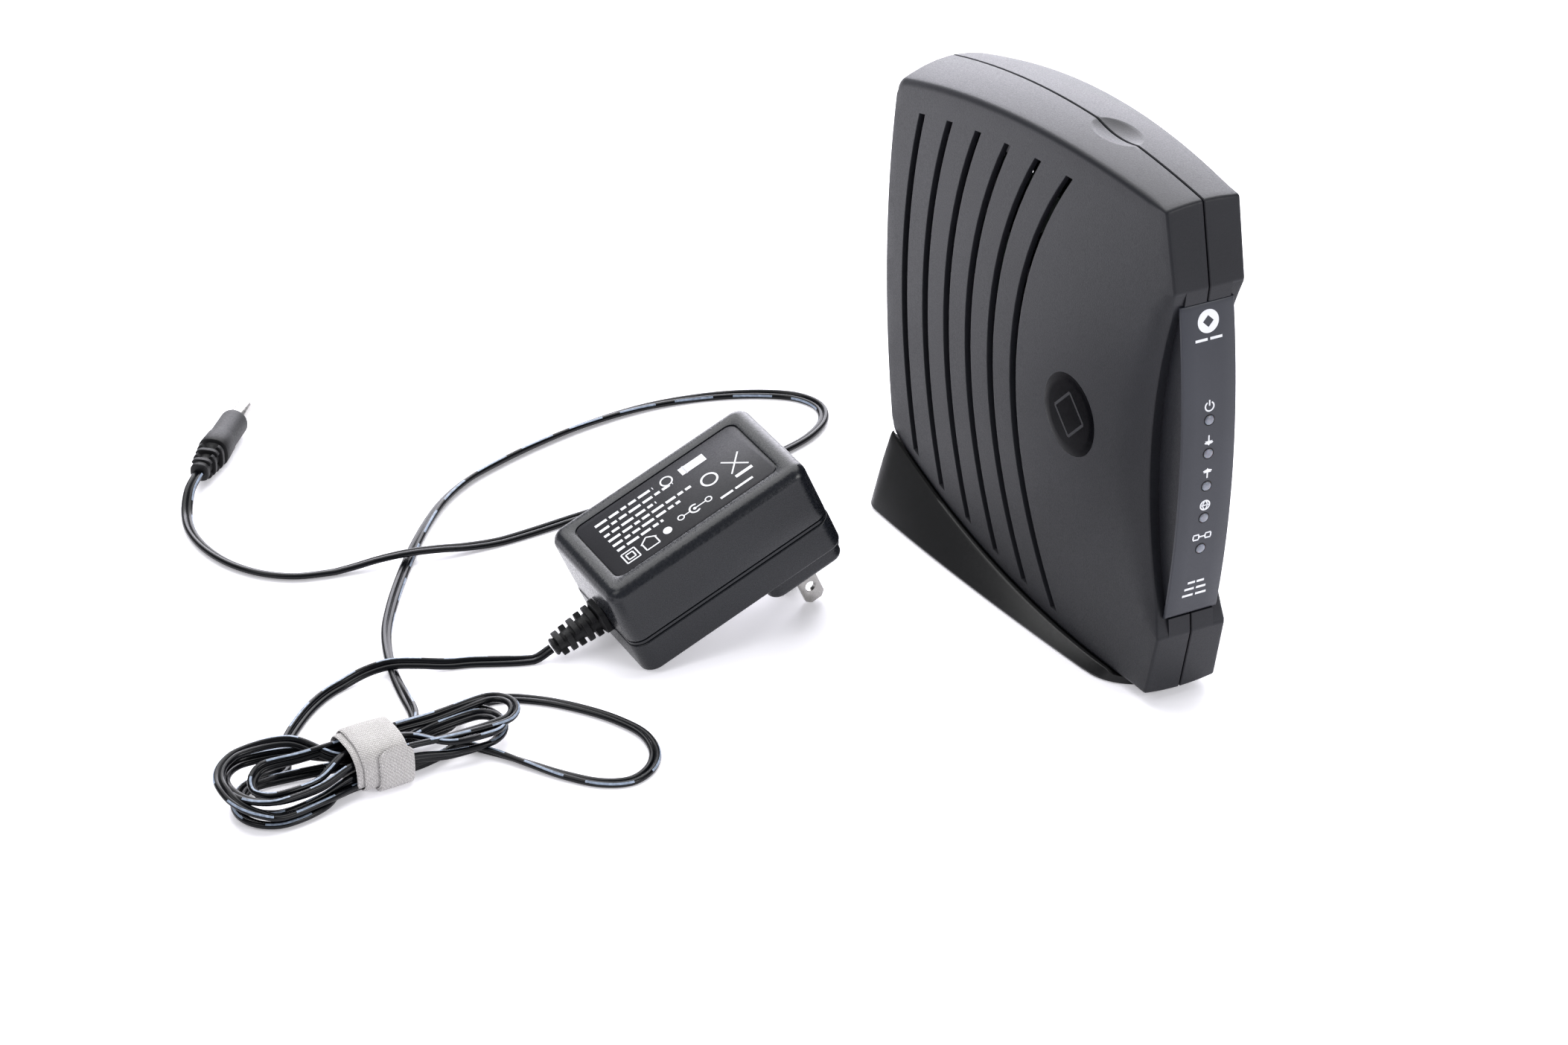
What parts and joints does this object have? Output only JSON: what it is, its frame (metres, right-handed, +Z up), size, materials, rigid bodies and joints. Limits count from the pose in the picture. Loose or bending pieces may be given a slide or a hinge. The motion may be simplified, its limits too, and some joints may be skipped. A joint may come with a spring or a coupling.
{
  "type": "cable modem",
  "caption": "Slim upright cable modem with curved side vents, a front strip of status lights and a flared stand, with its plug-in power supply and tied cord.",
  "frame": {"origin": "on the surface it stands on, on the underside of the stand, in the middle of the modem's width and near the middle of its depth", "axes": "+Z up, -Y out of the front with the status lights, +X to the modem's right-hand side seen from the back"},
  "size_m": [0.285, 0.2783, 0.1564],
  "materials": {
    "shell": "fine spark-eroded texture, satin",
    "label": "smooth satin film",
    "stand": "smooth semi-gloss",
    "lens": "frosted translucent light pipe",
    "rubber": "matte",
    "dark_plastic": "satin",
    "circuit_board": "solder mask",
    "tin": "tin plated",
    "nickel": "bright nickel plating",
    "heat_sink": "extruded",
    "capacitor": "sleeved can",
    "copper": "varnished winding",
    "screw": "black zinc",
    "supply_case": "sparkling fine texture",
    "supply_label": "printed rating panel",
    "cord": "black vinyl",
    "strap": "woven hook-and-loop tape"
  },
  "bodies": {
    "modem": {"left_shell": "shell", "right_shell": "shell", "front_label": "label", "stand": "stand", "rear_panel": "shell", "ethernet_jack": "dark_plastic", "power_jack": "dark_plastic", "usb_jack": "tin", "coax_connector": "nickel", "coax_nut": "nickel", "reset_switch": "dark_plastic", "main_board": "circuit_board", "processor": "dark_plastic", "memory_chip": "dark_plastic", "flash_chip": "dark_plastic", "ethernet_transformer": "dark_plastic", "power_inductor": "copper", "heat_sink": "heat_sink", "tuner_shield": "tin", "status_lens_1": "lens", "status_led_1": "tin", "status_lens_2": "lens", "status_led_2": "tin", "status_lens_3": "lens", "status_led_3": "tin", "status_lens_4": "lens", "status_led_4": "tin", "status_lens_5": "lens", "status_led_5": "tin", "stand_foot_1": "rubber", "stand_foot_2": "rubber", "stand_foot_3": "rubber", "stand_foot_4": "rubber", "board_screw_1": "screw", "capacitor_1": "capacitor", "board_screw_2": "screw", "capacitor_2": "capacitor", "board_screw_3": "screw", "capacitor_3": "capacitor", "housing_screw_1": "screw", "housing_screw_2": "screw"},
    "reset_button": {"reset_button": "lens"},
    "power_supply": {"supply_upper_case": "supply_case", "supply_lower_case": "supply_case", "supply_label": "supply_label", "near_blade": "nickel", "far_blade": "nickel", "supply_board": "circuit_board", "supply_transformer": "copper", "supply_capacitor": "capacitor", "strain_relief": "cord", "cord_hank": "cord", "cord_supply_run": "cord", "cord_loose_loop": "cord", "cord_plug_run": "cord", "hank_strap": "strap", "plug_moulding": "cord", "plug_barrel": "nickel"}
  },
  "joints": [
    {"name": "reset_press", "type": "slide", "parent": "modem", "child": "reset_button", "axis": [0, -1, 0], "range_m": [0, 0.001], "stiffness_N_per_m": 600},
    {"name": "power_supply_lift", "type": "slide", "parent": "modem", "child": "power_supply", "axis": [0, 0, 1], "range_m": [0, 0.12]}
  ]
}
